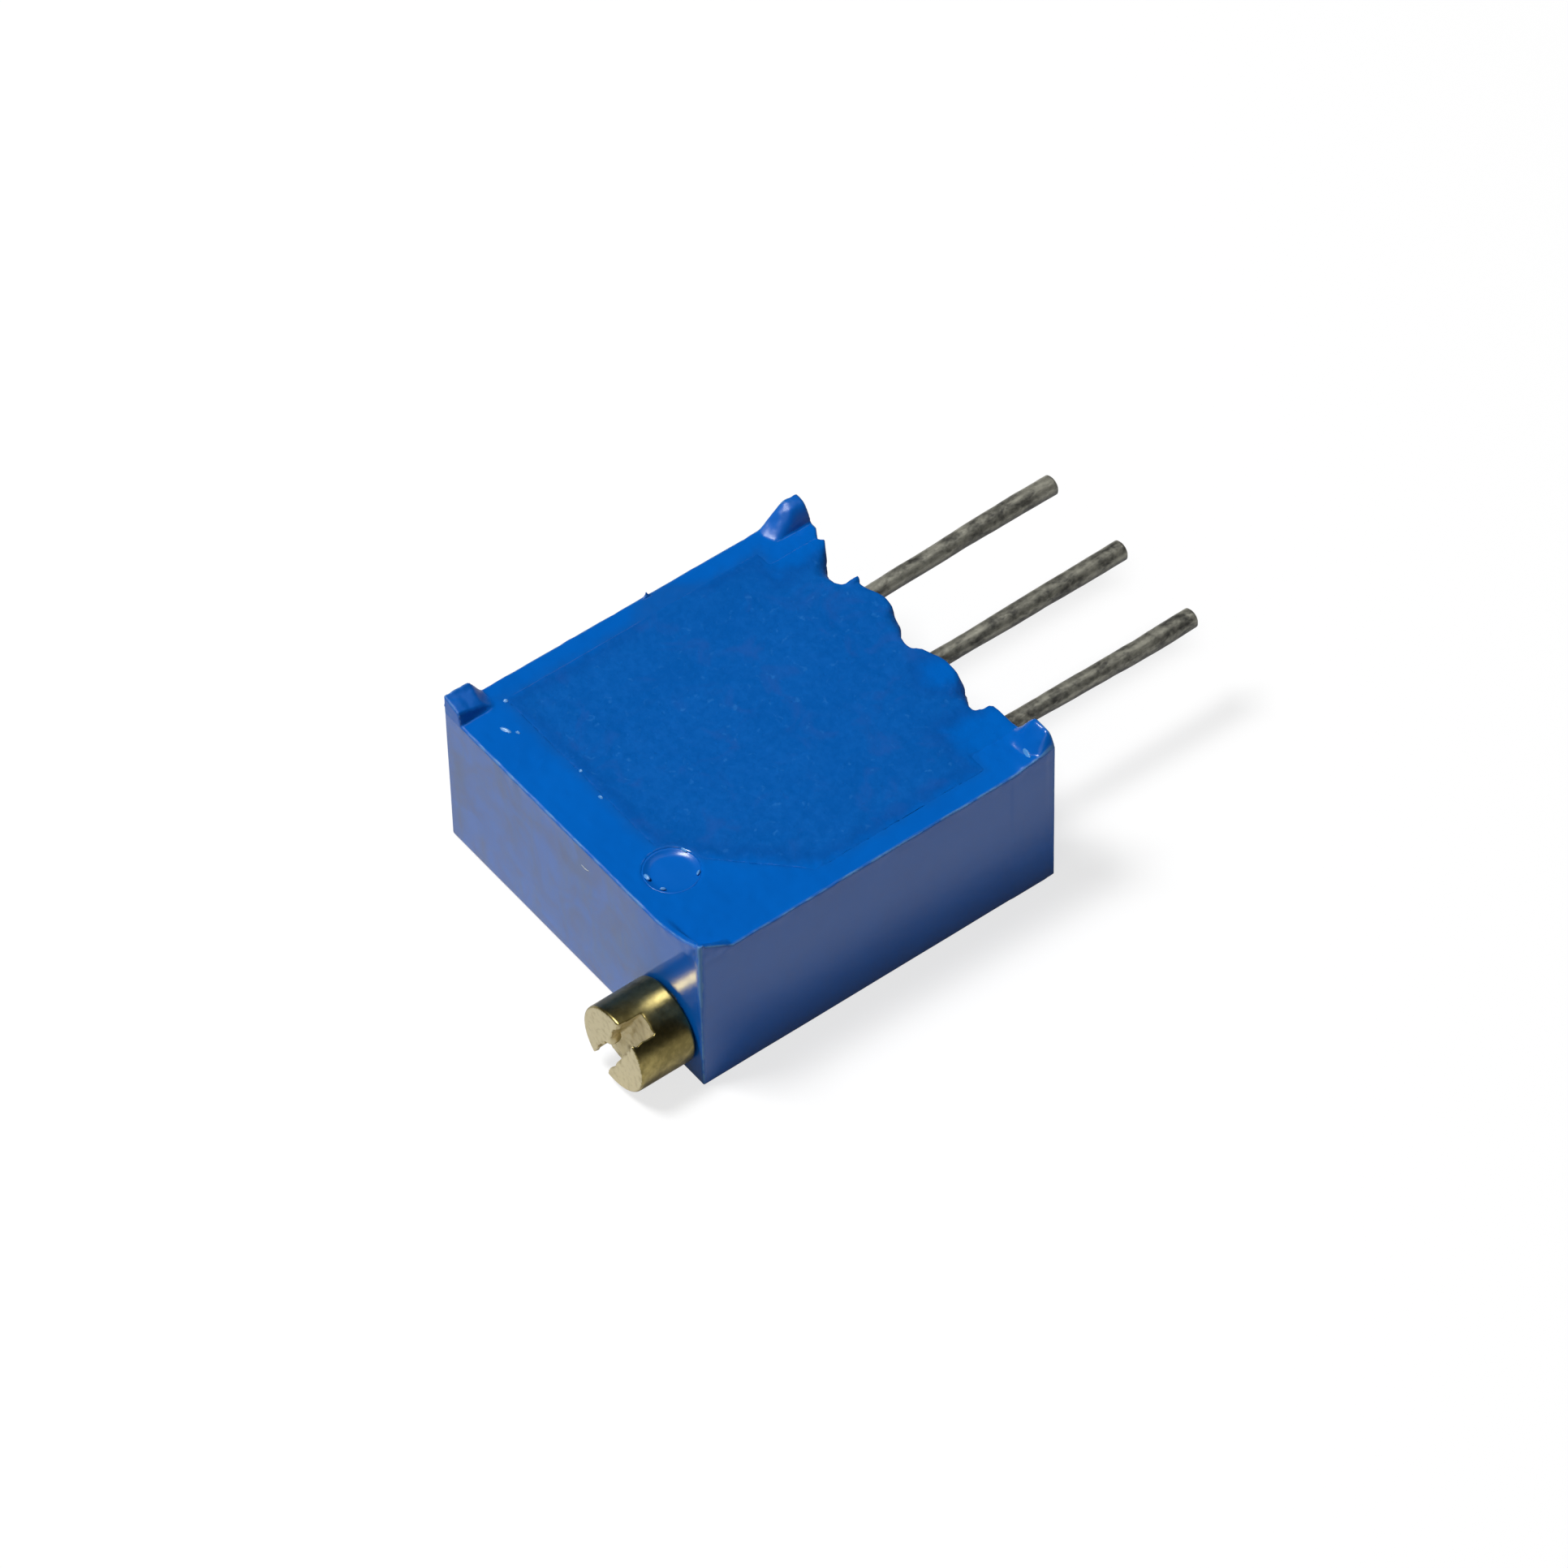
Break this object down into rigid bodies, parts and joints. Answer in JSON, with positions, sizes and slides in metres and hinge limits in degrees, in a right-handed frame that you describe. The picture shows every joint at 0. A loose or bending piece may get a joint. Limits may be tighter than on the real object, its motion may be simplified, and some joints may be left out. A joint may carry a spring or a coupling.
{
  "type": "trimmer potentiometer",
  "caption": "Square sealed multi-turn trimmer with a slotted brass adjusting screw, in-line wire pins and a worm-driven wiper.",
  "frame": {"origin": "centre of the front face, on which the part lies", "axes": "+Z from the front face to the potted back, +Y from the screw end to the pins, +X across the body to the screw's side"},
  "size_m": [0.0096, 0.0174, 0.0048],
  "materials": {
    "moulded_body": "smooth moulded blue thermoplastic",
    "potting_resin": "blue casting resin, matt and finely grained",
    "turned_brass": "turned brass, a little dull, bright on the edges",
    "ring_rubber": "silicone rubber",
    "pin_steel": "ground steel pin",
    "rotor_nylon": "natural nylon",
    "spring_alloy": "rolled copper alloy sheet",
    "alumina": "fired white ceramic",
    "resistive_ink": "fired black ink",
    "conductor_ink": "fired silver conductor",
    "tinned_wire": "dull, mottled tinned wire",
    "solder": "soft solder"
  },
  "bodies": {
    "case": {"housing": "moulded_body", "potting": "potting_resin", "retaining_pin": "pin_steel", "pin_sealant": "potting_resin", "ceramic_substrate": "alumina", "resistive_track": "resistive_ink", "centre_collector": "conductor_ink", "left_termination": "conductor_ink", "right_termination": "conductor_ink", "left_pin": "tinned_wire", "centre_pin": "tinned_wire", "right_pin": "tinned_wire", "left_solder": "solder", "centre_solder": "solder", "right_solder": "solder"},
    "screw": {"adjustment_screw": "turned_brass", "screw_o_ring": "ring_rubber"},
    "wheel": {"rotor": "rotor_nylon", "wiper": "spring_alloy"}
  },
  "joints": [
    {"name": "screw_turn", "type": "hinge", "parent": "case", "child": "screw", "pos_m": [0.00349, -0.00502, 0.00127], "axis": [0, 1, 0], "range_deg": [-4500, 4500]},
    {"name": "rotor_turn", "type": "hinge", "parent": "case", "child": "wheel", "pos_m": [-0.00008, -0.0001, 0.001], "axis": [0, 0, 1], "range_deg": [-132.5, 132.5]}
  ],
  "couplings": [
    {"joint": "rotor_turn", "follows": "screw_turn", "ratio": -0.029412}
  ]
}
